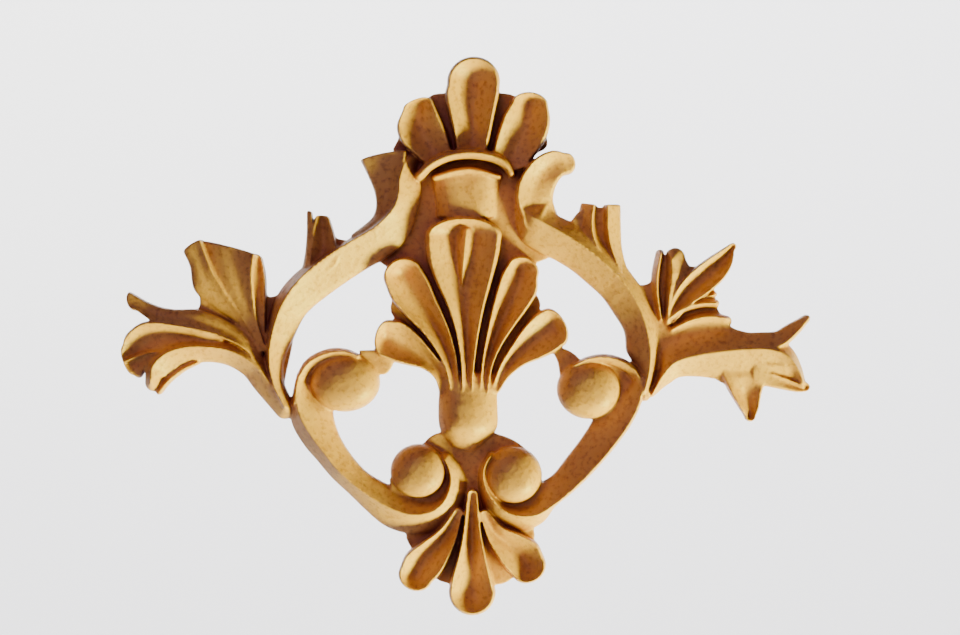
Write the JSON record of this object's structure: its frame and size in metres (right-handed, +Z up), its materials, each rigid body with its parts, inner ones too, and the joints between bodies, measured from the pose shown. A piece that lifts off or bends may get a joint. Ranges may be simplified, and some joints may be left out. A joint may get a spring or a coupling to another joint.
{
  "type": "furniture applique",
  "caption": "Moulded wood pulp ornament with acanthus leaves, scrolls, volutes and a palmette, flat at the back, to be glued or pinned to furniture or a panel",
  "frame": {"origin": "middle of the flat back face, on the back of the centre palmette", "axes": "+X to the right seen from the front, +Y into the surface that it is fixed to, +Z up; the carving faces -Y"},
  "size_m": [0.22, 0.0135, 0.178],
  "materials": {
    "wood_pulp": "matte"
  },
  "bodies": {
    "root": {"applique": "wood_pulp"}
  },
  "joints": []
}
